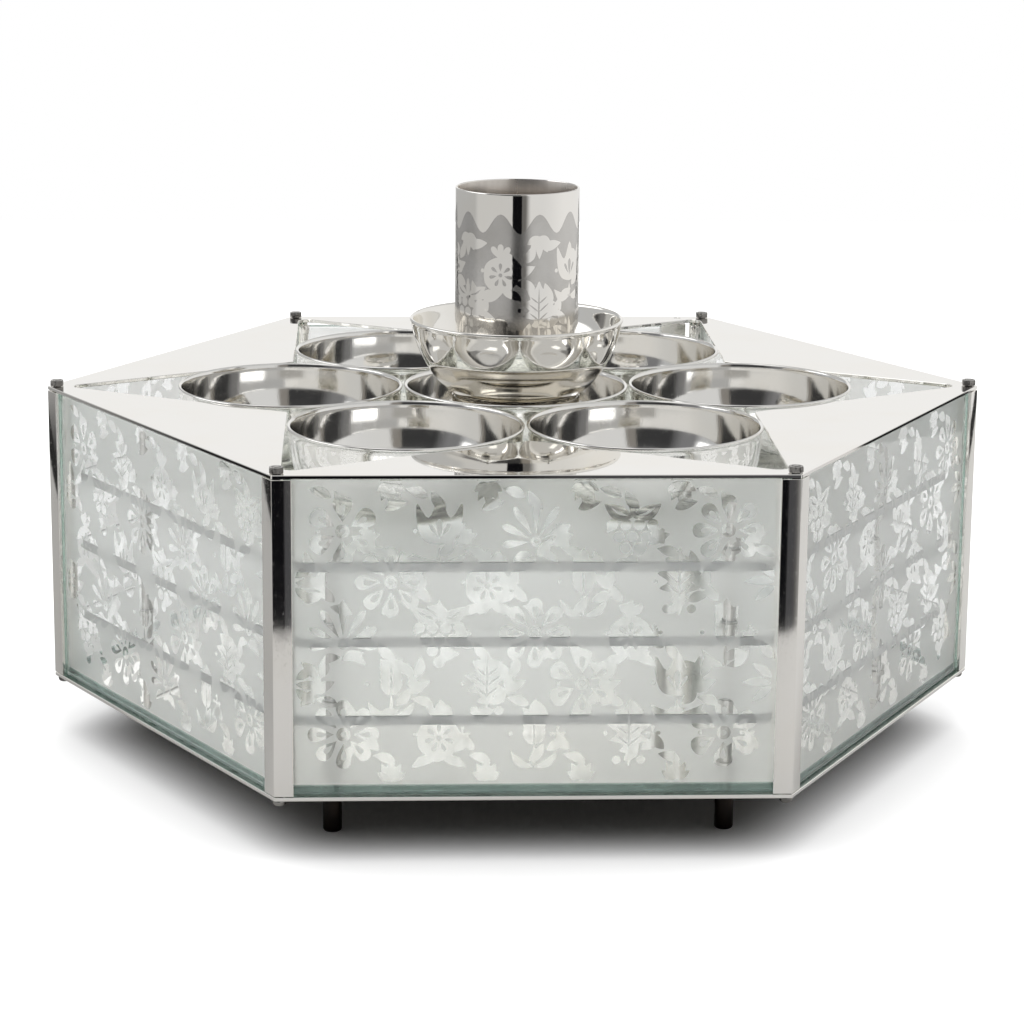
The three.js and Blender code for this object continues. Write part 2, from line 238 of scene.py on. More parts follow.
def satin_silver():
    """The brushed inside of the cup, with soft upright streaks."""
    m, t = material("silver_satin")
    co = t.node("ShaderNodeTexCoord").outputs["Object"]
    streak = t.noise(t.mapping(co, (1.0, 1.0, 0.03)), 260.0, 3.0, 0.5)
    cloud = t.noise(t.mapping(co, (1.0, 1.0, 0.1)), 60.0, 2.0, 0.5)
    tone = t.math("ADD", t.math("MULTIPLY", t.ramp(cloud, 0.35, 0.7), 0.6), t.math("MULTIPLY", t.ramp(streak, 0.35, 0.7), 0.4))
    colour = t.mix(tone, rgb(0.74, 0.70, 0.655), rgb(0.58, 0.54, 0.50))
    rough = t.math("ADD", 0.24, t.math("MULTIPLY", streak, 0.10))
    principled(t, Base_Color=colour, Metallic=1.0, Roughness=rough, Normal=t.bump(streak, 0.05, 0.00002))
    return m


def etched_silver():
    """The matte acid-etched ground of the cup's ornament."""
    m, t = material("silver_etched")
    co = t.node("ShaderNodeTexCoord").outputs["Object"]
    grain = t.noise(co, 5200.0, 2.0, 0.6)
    cloud = t.noise(co, 60.0, 3.0, 0.5)
    colour = t.mix(t.ramp(cloud, 0.35, 0.7), rgb(0.64, 0.625, 0.605), rgb(0.57, 0.555, 0.53))
    rough = t.math("ADD", 0.19, t.math("MULTIPLY", grain, 0.10))
    principled(t, Base_Color=colour, Metallic=1.0, Roughness=rough, Normal=t.bump(grain, 0.10, 0.00002))
    return m


SILVER_ETCHED = etched_silver()
SILVER_SATIN = satin_silver()


def fastener():
    m, t = material("fastener_steel")
    co = t.node("ShaderNodeTexCoord").outputs["Object"]
    n = t.noise(co, 900.0, 3.0, 0.6)
    cloud = t.noise(co, 120.0, 3.0, 0.5)
    colour = t.mix(t.ramp(cloud, 0.35, 0.65), rgb(0.36, 0.35, 0.335), rgb(0.17, 0.163, 0.155))
    rough = t.math("ADD", 0.05, t.math("MULTIPLY", n, 0.06))
    principled(t, Base_Color=colour, Metallic=1.0, Roughness=rough, Normal=t.bump(n, 0.15, 0.00003))
    return m


FASTENER = fastener()


def dark_metal(name, a, b, rough):
    m, t = material(name)
    co = t.node("ShaderNodeTexCoord").outputs["Object"]
    turn = t.noise(t.mapping(co, (1.0, 1.0, 14.0)), 220.0, 3.0, 0.6)
    cloud = t.noise(co, 90.0, 3.0, 0.55)
    colour = t.mix(t.ramp(cloud, 0.35, 0.7), rgb(*a), rgb(*b))
    r = t.math("ADD", rough, t.math("MULTIPLY", turn, 0.16))
    principled(t, Base_Color=colour, Metallic=0.85, Roughness=r, Normal=t.bump(turn, 0.12, 0.00003))
    return m


PILLAR_METAL = dark_metal("pillar_steel", (0.62, 0.61, 0.59), (0.50, 0.49, 0.475), 0.22)
FOOT_METAL = dark_metal("foot_black", (0.013, 0.011, 0.010), (0.026, 0.019, 0.015), 0.24)
UNDERSIDE = dark_metal("silver_underside", (0.30, 0.292, 0.28), (0.22, 0.213, 0.204), 0.42)


# ------------------------------------------------------------------ glass
def clear_glass():
    """Float glass: polished, faint smears in the gloss, a green body colour along its edges."""
    m, t = material("glass_clear")
    co = t.node("ShaderNodeTexCoord").outputs["Object"]
    smear = t.noise(t.mapping(co, (1.0, 1.0, 0.35)), 40.0, 4.0, 0.6)
    rough = t.math("MULTIPLY", t.ramp(smear, 0.5, 0.8), 0.035)
    ripple = t.noise(co, 9.0, 1.0, 0.4)
    p, out = principled(t, Base_Color=rgb(0.988, 0.995, 0.992), Roughness=rough, Normal=t.bump(ripple, 0.15, 0.00002))
    p.inputs["IOR"].default_value = 1.5
    p.inputs["Transmission Weight"].default_value = 1.0
    return m


def etched_glass():
    """The inner face where it is etched matte: it scatters what passes, and sends some light back."""
    m, t = material("glass_etched")
    co = t.node("ShaderNodeTexCoord").outputs["Object"]
    grain = t.noise(co, 3800.0, 2.0, 0.6)
    cloud = t.noise(co, 24.0, 4.0, 0.55)
    colour = t.mix(t.ramp(cloud, 0.3, 0.75), rgb(0.96, 0.962, 0.95), rgb(0.93, 0.933, 0.92))
    rough = t.math("ADD", 0.40, t.math("MULTIPLY", grain, 0.12))
    p, out = principled(t, Base_Color=colour, Roughness=rough, Normal=t.bump(grain, 0.10, 0.00002))
    p.inputs["IOR"].default_value = 1.5
    p.inputs["Transmission Weight"].default_value = 0.68
    return m


def shelf_glass():
    """The shelves' faces: clear, with a slight haze from handling and fine rubbing marks."""
    m, t = material("glass_shelf")
    co = t.node("ShaderNodeTexCoord").outputs["Object"]
    haze = t.noise(co, 22.0, 4.0, 0.55)
    rub = t.noise(t.mapping(co, (1.0, 0.12, 1.0), (0, 0, 0.5)), 600.0, 3.0, 0.6)
    rough = t.math("ADD", 0.03, t.math("ADD", t.math("MULTIPLY", t.ramp(haze, 0.4, 0.75), 0.06), t.math("MULTIPLY", t.ramp(rub, 0.55, 0.8), 0.05)))
    colour = t.mix(t.ramp(haze, 0.3, 0.7), rgb(0.985, 0.992, 0.988), rgb(0.965, 0.975, 0.97))
    p, out = principled(t, Base_Color=colour, Roughness=rough, Normal=t.bump(rub, 0.03, 0.00001))
    p.inputs["IOR"].default_value = 1.5
    p.inputs["Transmission Weight"].default_value = 0.985
    return m


def shelf_edge():
    """The shelves' ground edges."""
    m, t = material("glass_shelf_edge")
    co = t.node("ShaderNodeTexCoord").outputs["Object"]
    grind = t.noise(t.mapping(co, (1.0, 1.0, 0.25)), 1500.0, 3.0, 0.6)
    cloud = t.noise(co, 40.0, 3.0, 0.5)
    colour = t.mix(t.ramp(cloud, 0.35, 0.7), rgb(0.93, 0.945, 0.935), rgb(0.88, 0.895, 0.885))
    rough = t.math("ADD", 0.34, t.math("MULTIPLY", grind, 0.16))
    p, out = principled(t, Base_Color=colour, Roughness=rough, Normal=t.bump(grind, 0.12, 0.00003))
    p.inputs["IOR"].default_value = 1.5
    p.inputs["Transmission Weight"].default_value = 0.75
    return m


def glass_edge():
    """The ground and polished edges of the panels, where the glass shows its green body."""
    m, t = material("glass_edge")
    co = t.node("ShaderNodeTexCoord").outputs["Object"]
    grind = t.noise(t.mapping(co, (1.0, 1.0, 0.2)), 1400.0, 3.0, 0.6)
    cloud = t.noise(co, 45.0, 3.0, 0.5)
    colour = t.mix(t.ramp(cloud, 0.35, 0.7), rgb(0.40, 0.62, 0.545), rgb(0.33, 0.55, 0.475))
    rough = t.math("ADD", 0.12, t.math("MULTIPLY", grind, 0.14))
    p, out = principled(t, Base_Color=colour, Roughness=rough, Normal=t.bump(grind, 0.08, 0.00002))
    p.inputs["IOR"].default_value = 1.5
    p.inputs["Transmission Weight"].default_value = 0.8
    return m


def glass_foot_painted_shade():
    """The clear strip along the foot of each panel: the glass's green body colour, with painted shade that darkens it,
    deepest below about 30 mm up.
    """
    m, t = material("glass_foot_painted_shade")
    co = t.node("ShaderNodeTexCoord").outputs["Object"]
    sep = t.node("ShaderNodeSeparateXYZ")
    t.put(sep.inputs[0], co)
    streak = t.noise(t.mapping(co, (1.0, 1.0, 9.0)), 120.0, 3.0, 0.6)
    # Painted shade: two dark greens low down, and a paler green above about 30 mm.
    low = t.mix(t.ramp(streak, 0.35, 0.7), rgb(0.085, 0.155, 0.135), rgb(0.12, 0.20, 0.175))
    colour = t.mix(t.ramp(sep.outputs[2], 0.0296, 0.0306), low, rgb(0.55, 0.64, 0.61))
    rough = t.math("ADD", 0.10, t.math("MULTIPLY", streak, 0.10))
    p, out = principled(t, Base_Color=colour, Roughness=rough, Normal=t.bump(streak, 0.05, 0.00002))
    p.inputs["IOR"].default_value = 1.5
    p.inputs["Transmission Weight"].default_value = 0.5
    return m


GLASS_EDGE = glass_edge()
GLASS_SHELF_EDGE = shelf_edge()
GLASS_FOOT_PAINTED_SHADE = glass_foot_painted_shade()
GLASS_CLEAR = clear_glass()
GLASS_ETCHED = etched_glass()
GLASS_SHELF = shelf_glass()


# ------------------------------------------------------------------ mesh helpers
def new_object(name, verts, faces, materials, face_mats=None, smooth_angle=None):
    """Verts in millimetres, in the row frame."""
    me = bpy.data.meshes.new(name)
    me.from_pydata([(x * MM, y * MM, z * MM) for x, y, z in verts], [], faces)
    for mat in materials:
        me.materials.append(mat)
    if face_mats:
        me.polygons.foreach_set("material_index", face_mats)
    bm = bmesh.new()
    bm.from_mesh(me)
    bmesh.ops.remove_doubles(bm, verts=bm.verts, dist=1e-7)
    bmesh.ops.recalc_face_normals(bm, faces=bm.faces)
    bm.to_mesh(me)
    bm.free()
    me.validate()
    if smooth_angle is not None:
        me.shade_smooth()
        me.set_sharp_from_angle(angle=rad(smooth_angle))
    ob = bpy.data.objects.new(name, me)
    scene.collection.objects.link(ob)
    return ob


def stands_for(ob, node):
    """The piece takes the node's place and moves with its body."""
    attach(ob, node_body[node])
    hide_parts(node)
    return ob


def lathe(profile, segments, centre=(0, 0), closed=False, turn=0.0):
    """Verts and faces of a profile of (radius, height) turned about Z."""
    cx, cy = centre
    verts, faces = [], []
    rings = []
    for r, z in profile:
        if r < 1e-6:
            rings.append([len(verts)])
            verts.append((cx, cy, z))
        else:
            rings.append(list(range(len(verts), len(verts) + segments)))
            for i in range(segments):
                a = 2 * math.pi * i / segments + turn
                verts.append((cx + r * math.cos(a), cy + r * math.sin(a), z))
    pairs = list(zip(rings, rings[1:]))
    if closed:
        pairs.append((rings[-1], rings[0]))
    for a, b in pairs:
        for i in range(segments):
            j = (i + 1) % segments
            if len(a) == 1 and len(b) == 1:
                continue
            if len(a) == 1:
                faces.append((a[0], b[i], b[j]))
            elif len(b) == 1:
                faces.append((a[i], b[0], a[j]))
            else:
                faces.append((a[i], b[i], b[j], a[j]))
    return verts, faces


def inset(outer, t):
    out = []
    for i, (r, z) in enumerate(outer):
        a, b = outer[max(0, i - 1)], outer[min(len(outer) - 1, i + 1)]
        dr, dz = b[0] - a[0], b[1] - a[1]
        l = math.hypot(dr, dz)
        out.append((max(0.0, r - dz / l * t), z + dr / l * t))
    return out


def catmull(points, per):
    """A smooth line through the points."""
    out = []
    n = len(points)
    for i in range(n - 1):
        p0, p1, p2, p3 = points[max(0, i - 1)], points[i], points[i + 1], points[min(n - 1, i + 2)]
        for k in range(per):
            s = k / per
            out.append(tuple(
                0.5 * (2 * b + (c - a) * s + (2 * a - 5 * b + 4 * c - d) * s * s + (3 * b - a - 3 * c + d) * s ** 3)
                for a, b, c, d in zip(p0, p1, p2, p3)))
    out.append(tuple(points[-1]))
    return out


def rounded(points, radius, steps=4):
    """A plan outline with its corners rounded, where radius is one number or one per point."""
    out = []
    n = len(points)
    for i, p in enumerate(points):
        r = radius[i] if isinstance(radius, (list, tuple)) else radius
        a, b = Vector(points[i - 1]), Vector(points[(i + 1) % n])
        p = Vector(p)
        if r <= 0:
            out.append(tuple(p))
            continue
        u, v = (a - p).normalized(), (b - p).normalized()
        half = math.acos(max(-1, min(1, u.dot(v)))) / 2
        if half > math.pi / 2 - 1e-3:
            out.append(tuple(p))
            continue
        d = r / math.tan(half)
        c = p + (u + v).normalized() * (r / math.sin(half))
        s, e = p + u * d - c, p + v * d - c
        a0, a1 = math.atan2(s.y, s.x), math.atan2(e.y, e.x)
        da = (a1 - a0 + math.pi) % (2 * math.pi) - math.pi
        for k in range(steps + 1):
            t = a0 + da * k / steps
            out.append((c.x + r * math.cos(t), c.y + r * math.sin(t)))
    return out


def circle(x, y, r, n=32, turn=0.0):
    return [(x + r * math.cos(2 * math.pi * i / n + turn), y + r * math.sin(2 * math.pi * i / n + turn)) for i in range(n)]


def offset_loop(loop, d):
    """The loop moved sideways by d, to its left as it is walked."""
    n = len(loop)
    out = []
    for i in range(n):
        p0, p, p1 = Vector(loop[i - 1]), Vector(loop[i]), Vector(loop[(i + 1) % n])
        a, b = (p - p0).normalized(), (p1 - p).normalized()
        na, nb = Vector((-a.y, a.x)), Vector((-b.y, b.x))
        k = (na + nb)
        k = k / max(0.25, 1 + na.dot(nb))
        out.append((p.x + k.x * d, p.y + k.y * d))
    return out


def area(loop):
    return sum(loop[i - 1][0] * p[1] - p[0] * loop[i - 1][1] for i, p in enumerate(loop)) / 2


def filled(loops, steiner=()):
    """Triangles between an outer loop and its holes, as (points, faces)."""
    pts, faces = [], []
    for loop in loops:
        start = len(pts)
        loop = loop if area(loop) > 0 else loop[::-1]
        pts += [Vector(p) for p in loop]
        faces.append(list(range(start, start + len(loop))))
    pts += [Vector(p) for p in steiner]
    vs, _, fs, _, _, ids = mathutils.geometry.delaunay_2d_cdt(pts, [], faces, 0, 1e-6, True)
    keep = [f for f, i in zip(fs, ids) if 0 in i and not any(k in i for k in range(1, len(loops)))]
    return vs, keep


def plate(loops, z0, z1, bevel):
    """A flat plate from plan loops (outer first), with its edges bevelled by bevel, both faces."""
    loops = [l if area(l) > 0 else l[::-1] for l in loops[:1]] + [l if area(l) < 0 else l[::-1] for l in loops[1:]]
    inner = [offset_loop(l, bevel) for l in loops]
    verts, faces = [], []
    for z, flip in ((z1, False), (z0, True)):
        vs, fs = filled(inner)
        base = len(verts)
        verts += [(v.x, v.y, z) for v in vs]
        faces += [tuple(base + i for i in (f[::-1] if flip else f)) for f in fs]
    for full, small in zip(loops, inner):
        n = len(full)
        rows = [(small, z1), (full, z1 - bevel), (full, z0 + bevel), (small, z0)]
        base = len(verts)
        for line, z in rows:
            verts += [(x, y, z) for x, y in line]
        for k in range(3):
            for i in range(n):
                j = (i + 1) % n
                faces.append((base + k * n + i, base + (k + 1) * n + i, base + (k + 1) * n + j, base + k * n + j))
    return verts, faces


# ------------------------------------------------------------------ ornament
# A generic ornament in the old ogee layout of woven silks: chains of leaves part and meet again,
# and each space between them holds a fruit, an ear, a flower or a palmette. A motif is a list of
# clear outlines and a list of matte ones inside them, within a circle of radius 1.
def blade(length, width, bend=0.0, n=9, foot=0.0):
    """An almond leaf from (0, foot) to (0, foot + length)."""
    side = [(width * math.sin(math.pi * (i / n) ** 0.85) ** 0.9, i / n) for i in range(n + 1)]
    pts = [(w + bend * math.sin(math.pi * s), foot + s * length) for w, s in side]
    return pts + [(-w + bend * math.sin(math.pi * s), foot + s * length) for w, s in side[-2:0:-1]]


def drop(length, width, foot=0.0, n=18):
    """A drop with its point at the foot."""
    pts = []
    for i in range(n):
        a = 2 * math.pi * i / n - math.pi / 2
        y = (1 + math.sin(a)) / 2
        pts.append((width * math.cos(a) * y ** 0.75, foot + length * y))
    return pts


def spin(shape, angle, dx=0.0, dy=0.0, k=1.0):
    c, s = math.cos(angle), math.sin(angle)
    return [(dx + k * (x * c - y * s), dy + k * (x * s + y * c)) for x, y in shape]


def both(shape):
    return [shape, [(-x, y) for x, y in shape][::-1]]


def motif_rosette(petals):
    clear = [spin(drop(0.74, 0.66 * math.sin(math.pi / petals) * 1.2, 0.26), 2 * math.pi * i / petals) for i in range(petals)]
    matte = [spin(drop(0.34, 0.11, 0.42), 2 * math.pi * i / petals) for i in range(petals)]
    return clear + [circle(0, 0, 0.2, 16)], matte + [circle(0, 0, 0.085, 10)]


def motif_pomegranate():
    body = [((0.62 + 0.02 * math.cos(5 * a)) * math.cos(a), -0.12 + 0.6 * math.sin(a)) for a in (2 * math.pi * i / 36 for i in range(36))]
    crown = [spin(drop(0.52, 0.15, 0.0), rad(d), 0.0, 0.40) for d in (-36, 0, 36)]
    leaves = both(spin(blade(0.72, 0.15, -0.08), rad(-112), 0.10, -0.72))
    seeds = [drop(0.30, 0.09, -0.02)] and [spin(drop(0.27, 0.085, 0.13), 2 * math.pi * i / 7, 0, -0.12) for i in range(7)] + [circle(0, -0.12, 0.07, 10)]
    return [body] + crown + leaves, seeds


def motif_grapes():
    clear = []
    for row, n in enumerate((4, 3, 2, 1)):
        for i in range(n):
            clear.append(circle((i - (n - 1) / 2) * 0.37, 0.16 - row * 0.33, 0.165, 14))
    clear += both(spin(blade(0.86, 0.21, 0.06), rad(-63), 0.02, 0.36))
    clear.append(blade(0.62, 0.10, 0.0, foot=0.36))
    return clear, both(spin(blade(0.52, 0.035, 0.05), rad(-63), 0.14, 0.42))


def motif_ear():
    clear = [blade(0.46, 0.13, 0.0, foot=0.52)]
    for y in (0.34, 0.12, -0.10, -0.32):
        clear += both(spin(blade(0.50, 0.125, -0.03), rad(-34), 0.045, y))
    clear.append(blade(0.74, 0.05, 0.0, foot=-1.0))
    clear += both(spin(blade(0.80, 0.12, 0.12), rad(-52), 0.03, -0.98))
    return clear, []


def motif_lily():
    cup = catmull([(0, -0.40), (0.40, -0.28), (0.60, 0.12), (0.62, 0.78), (0.30, 0.36), (0, 0.92), (-0.30, 0.36), (-0.62, 0.78), (-0.60, 0.12), (-0.40, -0.28), (0, -0.40)], 4)[:-1]
    leaves = both(spin(blade(0.78, 0.15, 0.14), rad(-66), 0.03, -0.94))
    return [cup, blade(0.50, 0.055, 0.0, foot=-0.96)] + leaves, [drop(0.56, 0.12, -0.22)] + both(spin(drop(0.40, 0.075, 0.06), rad(-30), 0.04, -0.20))


def motif_palmette():
    clear = [spin(drop(1.05 - 0.10 * abs(d) / 30, 0.155, 0.20), rad(d), 0, -0.30) for d in (-96, -64, -32, 0, 32, 64, 96)]
    clear += [circle(0, -0.30, 0.15, 14)]
    clear += both(spin(blade(0.62, 0.13, -0.10), rad(-116), 0.08, -0.66))
    return clear, [circle(0, -0.30, 0.06, 10)]


def motif_oak():
    """A lobed leaf with its midrib left matte."""
    pts = [(0, -0.62)]
    for x, y in ((0.26, -0.52), (0.17, -0.34), (0.56, -0.20), (0.32, 0.0), (0.62, 0.24), (0.30, 0.36), (0.40, 0.66), (0.14, 0.72)):
        pts.append((x, y))
    pts.append((0, 0.98))
    leaf = catmull(pts + [(-x, y) for x, y in pts[-2:0:-1]] + [pts[0]], 3)[:-1]
    ribs = [blade(1.30, 0.03, 0.0, foot=-0.50)]
    for y, l in ((-0.34, 0.42), (-0.06, 0.46), (0.22, 0.38)):
        ribs += both(spin(blade(l, 0.026), rad(-52), 0.0, y))
    return [leaf, blade(0.44, 0.05, 0.0, foot=-0.98)] + both(circle(0.34, -0.78, 0.13, 12)), ribs


MOTIFS = [motif_pomegranate, motif_ear, lambda: motif_rosette(6), motif_grapes, motif_palmette, motif_lily, motif_oak, lambda: motif_rosette(8)]


def ornament(s0, s1, z0, z1, cols, rows, seed, blocked=(), size=0.40):
    """Clear outlines, and matte ones inside them, in (along, up) millimetres."""
    rnd = random.Random(seed)
    P, Q = (s1 - s0) / cols, (z1 - z0) / rows
    clear, matte = [], []

    def put(shapes, islands):
        """All of it, or none where it would cross the field's edge or a kept-out circle."""
        pts = [p for sh in shapes for p in sh]
        if min(p[0] for p in pts) < s0 - 1.3 or max(p[0] for p in pts) > s1 + 1.3 or min(p[1] for p in pts) < z0 + 0.2 or max(p[1] for p in pts) > z1 - 0.2:
            return
        if any(math.hypot(x - bx, y - bz) < br for bx, bz, br in blocked for x, y in pts):
            return
        clear.extend(shapes)
        matte.extend(islands)

    order = list(range(len(MOTIFS)))
    rnd.shuffle(order)
    for j in range(1, 2 * rows + 1, 2):
        z = z0 + j * Q / 2
        for i in range(cols + 1):
            s = s0 + (i + 0.5) * P
            kind = order[(i * 3 + j) % len(MOTIFS)]
            flip = math.pi if kind in (2, 7) and rnd.random() < 0.5 else 0.0
            shapes, islands = MOTIFS[kind]()
            r = size * min(P, Q * 0.86)
            put([spin(sh, flip, s, z, r) for sh in shapes], [spin(sh, flip, s, z, r) for sh in islands])
    for j in range(0, 2 * rows + 1, 2):
        z = z0 + j * Q / 2
        for i in range(cols + 1):
            s = s0 + i * P
            kind = order[(i * 3 + j + 2) % len(MOTIFS)]
            shapes, islands = MOTIFS[kind]()
            r = size * min(P, Q * 0.86)
            if 0 < j < 2 * rows and 0 < i < cols:
                put([spin(sh, 0, s, z, r) for sh in shapes], [spin(sh, 0, s, z, r) for sh in islands])
            elif 0 < j < 2 * rows:
                side = 1 if i == 0 else -1
                for k, (dz, l) in enumerate(((5.6, 9.5), (0, 12.0), (-5.6, 9.5))):
                    put([spin(blade(l, 1.9, 0.3), rad(-90 * side + side * (38, 0, -38)[k]), s + side * 0.2, z + dz * 0.35)], [])
            elif 0 < i < cols:
                up = 1 if j == 0 else -1
                for d in (-58, -29, 0, 29, 58):
                    put([spin(blade(9.8 - abs(d) / 18, 1.75), rad(d + (0 if up > 0 else 180)), s, z + up * 1.4)], [])
    # The leaf chains.
    amp = P / 4
    for k in range(2 * cols + 1):
        base = s0 + k * P / 2
        sign = -1 if k % 2 else 1
        f = lambda z, base=base, sign=sign: base + sign * amp * math.cos(2 * math.pi * (z - z0) / Q)
        z = z0 + 0.9
        n = 0
        while z < z1 - 1.5:
            s = f(z)
            ds = (f(z + 0.01) - f(z - 0.01)) / 0.02
            step = 8.3 / math.hypot(1, ds)
            turn = -math.atan(ds)
            side = 1 if n % 2 else -1
            phase = ((z - z0) / Q * 2) % 1
            if 0.09 < phase < 0.91:
                put([spin(blade(9.4, 2.15, 0.6 * side), turn + rad(17) * side, s, z)], [])
            z += step
            n += 1
    # Where the chains meet.
    for j in range(0, 2 * rows + 1):
        for i in range(-1, cols + 1):
            s = s0 + (i + 0.25 + (0.5 if j % 2 else 0.0)) * P
            z = z0 + j * Q / 2
            put([spin(drop(2.7, 1.15, 0.45, 12), math.pi / 2 * q, s, z) for q in range(4)], [])
            s2 = s0 + (i + 0.75 + (0.5 if j % 2 else 0.0)) * P
            put([circle(s2, z, 0.9, 12)], [])
    return clear, matte


# ------------------------------------------------------------------ glass panels
def panel_point(angle, s, n, z):
    """A point s along the panel, n out from the middle of the case, at height z."""
    c, k = math.cos(rad(angle)), math.sin(rad(angle))
    return (n * c - s * k, n * k + s * c, z)


def glass_panel(name, node, angle, s0, s1, s0_in, s1_in, z0, z1, seed, clear_below, hole=None):
    chamfer = 0.45
    n_out, n_in = GLASS_OUT, GLASS_OUT - GLASS_T
    verts, faces, mats = [], [], []

    def ring(a, b, lo, hi, n):
        base = len(verts)
        for s, z in ((a, lo), (b, lo), (b, hi), (a, hi)):
            verts.append(panel_point(angle, s, n, z))
        return base

    # Outer face, chamfer, edge, chamfer, inner face.
    c = chamfer
    holes = [circle(hole[0], hole[1], hole[2], 48)] if hole else []
    outer = [(s0 + c, z0 + c), (s1 - c, z0 + c), (s1 - c, z1 - c), (s0 + c, z1 - c)]
    vs, fs = filled([outer] + holes)
    base = len(verts)
    verts += [panel_point(angle, v.x, n_out, v.y) for v in vs]
    faces += [tuple(base + i for i in f) for f in fs]
    mats += [0] * len(fs)
    rings = [ring(s0 + c, s1 - c, z0 + c, z1 - c, n_out), ring(s0, s1, z0, z1, n_out - c), ring(s0_in, s1_in, z0, z1, n_in + c), ring(s0_in + c, s1_in - c, z0 + c, z1 - c, n_in)]
    for a, b in zip(rings, rings[1:]):
        for i in range(4):
            j = (i + 1) % 4
            faces.append((a + i, b + i, b + j, a + j))
            # On the bottom side, the chamfers and edge take the foot material with its painted shade. The other edge
            # faces take the green edge material, and the other chamfers take clear glass.
            mats.append((3 if i == 0 else 2) if a in rings[:3] and (i == 0 or a == rings[1]) else 0)
    if hole:
        base = len(verts)
        verts += [panel_point(angle, x, n_out, z) for x, z in holes[0]]
        verts += [panel_point(angle, x, n_in, z) for x, z in holes[0]]
        for i in range(48):
            j = (i + 1) % 48
            faces.append((base + i, base + j, base + 48 + j, base + 48 + i))
            mats.append(0)
    # The inner face: etched, but for the ornament's windows and a clear margin at its foot.
    edge = [(s0_in + c, z0 + c), (s1_in - c, z0 + c), (s1_in - c, z1 - c), (s0_in + c, z1 - c)]
    m = 0.5
    field = [(s0_in + c + m, z0 + clear_below), (s1_in - c - m, z0 + clear_below), (s1_in - c - m, z1 - c - 0.3), (s0_in + c + m, z1 - c - 0.3)]
    blocked = [(hole[0], hole[1], hole[2] + 2.0)] if hole else []
    half = 93.9
    reach = c + m + 1.4  # no motif passes the field's edge
    clear, matte = ornament(max(s0_in + reach, -half), min(s1_in - reach, half), field[0][1], field[2][1], 5, 3, seed, blocked)
    pts, polys = [], []
    for loop in [edge, field] + holes + clear + matte:
        start = len(pts)
        pts += [Vector(p) for p in loop]
        polys.append(list(range(start, start + len(loop))))
    vs, _, fs, _, _, ids = mathutils.geometry.delaunay_2d_cdt(pts, [], polys, 0, 1e-6, True)
    base = len(verts)
    verts += [panel_point(angle, v.x, n_in, v.y) for v in vs]
    first_clear = 2 + len(holes)
    first_matte = first_clear + len(clear)
    for f, i in zip(fs, ids):
        if hole and 2 in i:
            continue
        etched = 1 in i and (not any(k >= first_clear for k in i) or any(k >= first_matte for k in i))
        faces.append(tuple(base + k for k in f))
        # The clear margin at the foot takes the foot material with its painted shade.
        below = all(vs[k].y < z0 + clear_below + 0.01 for k in f)
        mats.append(1 if etched else 3 if below else 0)
    ob = new_object(name, verts, faces, [GLASS_CLEAR, GLASS_ETCHED, GLASS_EDGE, GLASS_FOOT_PAINTED_SHADE], mats)
    return stands_for(ob, node)


for i, (side, angle) in enumerate([("rear_right", 30), ("rear_left", 150), ("front_left", 210), ("front", 270), ("front_right", 330)]):
    glass_panel("etched_panel_" + side, "glass_panel_" + side, angle, -98.3, 98.3, -96.6, 96.6, BASE_TOP + 0.5, TOP_Z - PLATE_T - 0.5, 3 + i, 3.0)
# The door's own length runs towards -X, so its free end and finger hole have positive s.
glass_panel("etched_door", "rear_door_glass", 90, -92.0, 94.2, -92.0, 94.2, 29.3, 153.1, 11, 3.0, hole=(74.2, 91.2, 9.0))


# ------------------------------------------------------------------ plates
def star_loop():
    pts = []
    for k in range(6):
        a = k * 60
        cx, cy = at(STAR_R - 2 * STAR_TIP_R, a)
        for i in range(-8, 9):
            x, y = at(STAR_TIP_R, a + i * 7.5)
            pts.append((cx + x, cy + y))
        # the inner corner
        ia = a + 30
        ix, iy = at(STAR_R / math.sqrt(3), ia)
        pts.append((ix, iy))
    return pts


HEX = [at(CORNER_R, a) for a in range(0, 360, 60)]
hex_outline = rounded(HEX, 0.8, 4)
bolt_holes = [circle(*at(BOLT_R, a), 1.65, 24) for _, a in CORNERS]
door_hole = [circle(88.0, 172.7, 1.56, 24)]
verts, faces = plate([hex_outline, star_loop()] + bolt_holes + door_hole, TOP_Z - PLATE_T, TOP_Z, 0.25)
stands_for(new_object("star_plate", verts, faces, [SILVER_PLATE]), "top_plate")
pillar_holes = [circle(*at(PILLAR_R, a), 1.65, 24) for _, a in CORNERS]
verts, faces = plate([hex_outline] + bolt_holes + pillar_holes + door_hole, BASE_TOP - PLATE_T, BASE_TOP, 0.25)
under = [1 if max(verts[q][2] for q in f) < BASE_TOP - PLATE_T + 0.01 else 0 for f in faces]
stands_for(new_object("base_plate", verts, faces, [SILVER_PLATE, UNDERSIDE], under), "bottom_plate")

# ------------------------------------------------------------------ corner strips
STRIP_LEG, STRIP_T = 7.8, 1.5
for corner, angle in CORNERS:
    o = Vector(at(CORNER_R, angle))
    d1, d2 = Vector(at(STRIP_LEG, angle + 120)), Vector(at(STRIP_LEG, angle - 120))
    n1, n2 = Vector(at(STRIP_T, angle + 210)), Vector(at(STRIP_T, angle - 210))
    inner = Vector(at(CORNER_R - STRIP_T / math.cos(rad(30)), angle))
    outline = rounded([o, o + d1, o + d1 + n1, inner, o + d2 + n2, o + d2], [0.35, 0.25, 0.25, 0.6, 0.25, 0.25], 4)
    verts, faces = plate([[tuple(p) for p in outline]], BASE_TOP + 0.3, TOP_Z - PLATE_T - 0.3, 0.12)
    ob = new_object("strip_" + corner, verts, faces, [SILVER_STRIP], smooth_angle=28)
    stands_for(ob, "corner_strip_" + corner)

